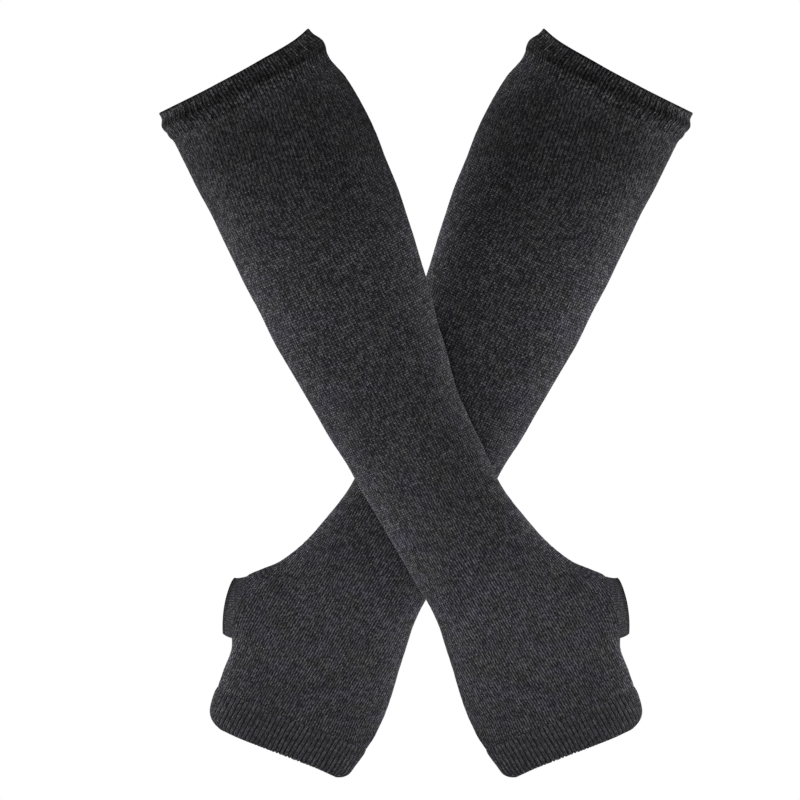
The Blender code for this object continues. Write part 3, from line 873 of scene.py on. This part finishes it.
def knitGroup():
    # plain knit in heather yarn: a stitch is two legs that meet in a V, of which one stands out, partly
    # by the yarn's twist and partly as the other gets painted shade on its side away from the light;
    # the gaps between the legs and the lines between wales and between courses get painted shade, and
    # the colour changes from stitch to stitch and along the courses
    tree = bpy.data.node_groups.new("heatherKnit", "ShaderNodeTree")
    floats = ("Tone", "Purl", "Valleys", "Bulges", "Gaps", "Twist", "Stitch Spread", "Streaks",
              "Fibres", "Patches")
    for way, kind, names in (("INPUT", "Vector", ("Stitches",)), ("INPUT", "Float", floats),
                             ("INPUT", "Color", ("Yarn", "Cool Yarn")),
                             ("OUTPUT", "Color", ("Color",)), ("OUTPUT", "Float", ("Height",))):
        for name in names:
            tree.interface.new_socket(name, in_out=way, socket_type="NodeSocket" + kind)
    given = tree.nodes.new("NodeGroupInput").outputs
    result = tree.nodes.new("NodeGroupOutput").inputs

    def calc(operation, *values):
        return addNode(tree, "Math", enumerate(values), operation=operation)

    def times(one, other):
        return calc("MULTIPLY", one, other)

    def fit(value, gain, offset):
        return calc("MULTIPLY_ADD", value, gain, offset)

    def rest(value):    # what it leaves of one
        return calc("SUBTRACT", 1.0, value)

    def wave(value, swing, middle):
        return fit(calc("COSINE", times(value, 2 * pi)), swing, middle)

    def noise(vector, scale, detail, roughness):
        return addNode(tree, "TexNoise", {"Vector": vector, "Scale": scale, "Detail": detail,
                                          "Roughness": roughness})

    def pattern(name):    # noise that runs with the stitches
        perWale, perCourse, detail, roughness = stitch[name]
        spot = {"X": times(wale, perWale), "Y": times(course, perCourse)}
        return noise(addNode(tree, "CombineXYZ", spot), 1.0, detail, roughness)

    split = tree.nodes.new("ShaderNodeSeparateXYZ")
    tree.links.new(given["Stitches"], split.inputs[0])
    sway = calc("SUBTRACT", noise(given["Stitches"], *stitch["sway"]), 0.5)
    wale = fit(sway, stitch["waleSway"], split.outputs[0])
    course = fit(sway, stitch["courseSway"], split.outputs[1])

    aside = fit(calc("FRACT", wale), 2.0, -1.0)
    isRight = calc("GREATER_THAN", aside, 0.0)
    aside = calc("ABSOLUTE", aside)
    lean = fit(aside, stitch["legSlope"], course)
    leg = times(fit(aside, stitch["legWidth"], stitch["legStart"]), pi)
    # the right leg darker, by the yarn's twist and by painted shade
    leg = times(calc("SINE", leg), rest(times(isRight, given["Twist"])))
    # painted shade between the courses, in the gaps between the legs and in the lines between the wales
    dip = times(rest(wave(lean, -0.5, 0.5)), given["Bulges"])
    face = times(times(leg, rest(dip)), rest(given["Purl"]))
    height = calc("ADD", face, times(wave(course, *stitch["purl"]), given["Purl"]))
    shade = calc("ADD", height, times(rest(height), given["Gaps"]))
    shade = times(shade, rest(times(wave(wale, 0.5, 0.5), given["Valleys"])))

    leftOrRight = fit(calc("FLOOR", wale), 2.0, isRight)
    cell = addNode(tree, "CombineXYZ", {"X": leftOrRight, "Y": calc("FLOOR", lean)})
    dash = addNode(tree, "TexWhiteNoise", {"Vector": cell}, noise_dimensions="2D")
    streak, fibre, patch = (pattern(name) for name in ("streak", "fibre", "patch"))
    for value, spread, gain in ((dash, "Stitch Spread", 2.0), (streak, "Streaks", 4.0),
                                (fibre, "Fibres", 4.0), (patch, "Patches", 4.0)):
        # a factor between one over the spread and the spread
        power = fit(value, gain, -gain / 2)
        shade = times(shade, calc("POWER", given[spread], power))
    # Tone brings in the painted light and shade of each piece
    shade = times(times(shade, stitch["level"]), given["Tone"])

    hue = noise(given["Stitches"], *stitch["hue"])
    plain, cool = stitch["hueRange"]
    isCool = addNode(tree, "MapRange", {"Value": hue, "From Min": plain, "From Max": cool})
    isCool = times(isCool, given["Tone"])    # less blue where the tone, with its painted shade, is darker
    yarn = addNode(tree, "Mix", {0: isCool, 6: given["Yarn"], 7: given["Cool Yarn"]}, 2,
                   data_type="RGBA")
    scaled = addNode(tree, "VectorMath", {0: yarn, "Scale": shade}, operation="SCALE")
    tree.links.new(scaled, result["Color"])
    tree.links.new(fit(fibre, stitch["fibreHeight"], height), result["Height"])
    return tree


# The yarn and how unevenly it shows on each piece, and how high its bumps are in millimetres.
looks = {
    "sleeve": {"Yarn": (0.0516, 0.0513, 0.0532, 1), "Cool Yarn": (0.0504, 0.0496, 0.0614, 1),
               "Gaps": 0.1, "Twist": 0.2, "Stitch Spread": 2.0, "Streaks": 1.15, "Fibres": 3.2,
               "Patches": 1.15, "bump": 0.32},
    "band": {"Yarn": (0.048, 0.0478, 0.049, 1), "Cool Yarn": (0.0468, 0.0464, 0.053, 1),
             "Gaps": 0.05, "Twist": 0.3, "Stitch Spread": 2.3, "Streaks": 1.15, "Fibres": 4.6,
             "Patches": 1.15, "bump": 0.32},
    "cuff": {"Yarn": (0.054, 0.0536, 0.0564, 1), "Cool Yarn": (0.0524, 0.0516, 0.0618, 1),
             "Gaps": 0.05, "Twist": 0.3, "Stitch Spread": 1.7, "Streaks": 1.15, "Fibres": 3.8,
             "Patches": 1.15, "bump": 0.30},
    "collar": {"Yarn": (0.048, 0.0476, 0.0504, 1), "Cool Yarn": (0.0468, 0.0462, 0.0552, 1),
               "Gaps": 0.1, "Twist": 0.2, "Stitch Spread": 1.6, "Streaks": 1.1, "Fibres": 2.2,
               "Patches": 1.1, "bump": 0.22},
}

# How the knit takes light.
knitFinish = {
    "Roughness": 0.95,
    "Specular IOR Level": 0.0,
    "Sheen Weight": 0.02,
    "Sheen Roughness": 0.5,
    "Sheen Tint": (0.9, 0.9, 1.0, 1.0),
}


def knitMaterial(part, group):
    look = dict(looks[part])
    bumpHeight = look.pop("bump") * mm
    material = bpy.data.materials.new(part + "Knit")
    material.use_nodes = True
    tree = material.node_tree
    shader = tree.nodes["Principled BSDF"]
    look["Stitches"] = addNode(tree, "UVMap", uv_map="stitchMap")
    for name in ("Tone", "Purl", "Valleys", "Bulges"):
        look[name] = addNode(tree, "Attribute", output=2, attribute_name=name.lower())
    knit = addNode(tree, "Group", look, node_tree=group)
    tree.links.new(knit, shader.inputs["Base Color"])
    bump = addNode(tree, "Bump", {"Strength": 1.0, "Distance": bumpHeight,
                                  "Height": knit.node.outputs["Height"]})
    tree.links.new(bump, shader.inputs["Normal"])
    for name, value in knitFinish.items():
        shader.inputs[name].default_value = value
    return material


def makeWarmers():
    group = knitGroup()
    materials = {part: knitMaterial(part, group) for part in looks}
    grids = sleeveGrids()
    print("sleeve worked out")
    made = (("sleeve", "sleeve", sleeve, sleeveCloth(grids), ("sleeve", "hand")),
            ("top_band", "band", band, bandCloth(), ("top_band",)),
            ("finger_cuff", "cuff", cuff, cuffCloth(), ("finger_cuff",)),
            ("thumb_collar", "collar", collar, collarCloth(grids), ("thumb_collar",)))
    for prefix, side in (("front", 1), ("rear", -1)):
        for name, part, values, cloth, nodes in made:
            finishCloth(cloth, f"{prefix}_{name}_knit", side, [f"{prefix}_{node}" for node in nodes],
                        materials[part], values["flat"], values["flatArea"])
        print(prefix, "warmer made")


studio = {
    "viewWidth": 0.4,    # metres across the frame
    "centre": (-0.013, 0.028),    # X and Z in the middle of the frame
    "distance": 1.6,
    "farthest": 20,
    "floorGap": 0.0015,
    "floorSize": 6,
    "floorColor": (0.82, 0.82, 0.82, 1),
    "floorRoughness": 0.9,
    "ambient": 0.2,
    # power, size and place of each light, which all face the middle
    "lights": {
        "leftLight": (14.5, 0.6, (-0.8, 0.3, 0.0)),
        "rightLight": (14.5, 0.6, (0.8, 0.3, 0.0)),
        "frontLight": (8.5, 0.3, (0.0, -1.4, 0.0)),
        "backLight": (8.5, 0.3, (0.0, 1.4, 0.0)),
    },
}


def addLight(name, power, size, spot):
    data = bpy.data.lights.new(name, "AREA")
    data.energy = power
    data.size = size
    light = bpy.data.objects.new(name, data)
    bpy.context.scene.collection.objects.link(light)
    light.location = spot
    light.visible_camera = False
    light.rotation_euler = (-Vector(spot)).to_track_quat("-Z", "Y").to_euler()


def makeStudio():
    scene = bpy.context.scene
    data = bpy.data.cameras.new("camera")
    data.type = "ORTHO"
    data.ortho_scale = studio["viewWidth"]
    data.clip_end = studio["farthest"]
    camera = bpy.data.objects.new("camera", data)
    x, z = studio["centre"]
    camera.location = (x, -studio["distance"], z)
    camera.rotation_euler = (pi / 2, 0, 0)
    scene.collection.objects.link(camera)
    scene.camera = camera

    for name, values in studio["lights"].items():
        addLight(name, *values)

    world = bpy.data.worlds.new("studio")
    world.use_nodes = True
    tree = world.node_tree
    seen = addNode(tree, "LightPath")
    strength = addNode(tree, "MapRange", {"Value": seen, "To Min": studio["ambient"]})
    background = tree.nodes["Background"].inputs
    background["Color"].default_value = (1, 1, 1, 1)
    tree.links.new(strength, background["Strength"])
    scene.world = world
    scene.view_settings.view_transform = "Standard"

    for item in bpy.context.selected_objects:
        item.select_set(False)
    bpy.ops.mesh.primitive_plane_add(size=studio["floorSize"],
                                     location=(0, 0, cadBox[0][2] - studio["floorGap"]))
    floor = bpy.context.object
    floor.name = "floor"
    bpy.ops.object.transform_apply(location=True, rotation=True, scale=True)
    pale = bpy.data.materials.new("paleFloor")
    pale.use_nodes = True
    finish = pale.node_tree.nodes["Principled BSDF"].inputs
    finish["Base Color"].default_value = studio["floorColor"]
    finish["Roughness"].default_value = studio["floorRoughness"]
    floor.data.materials.append(pale)
    print("studio made")


makeWarmers()
makeStudio()
bpy.context.view_layer.update()
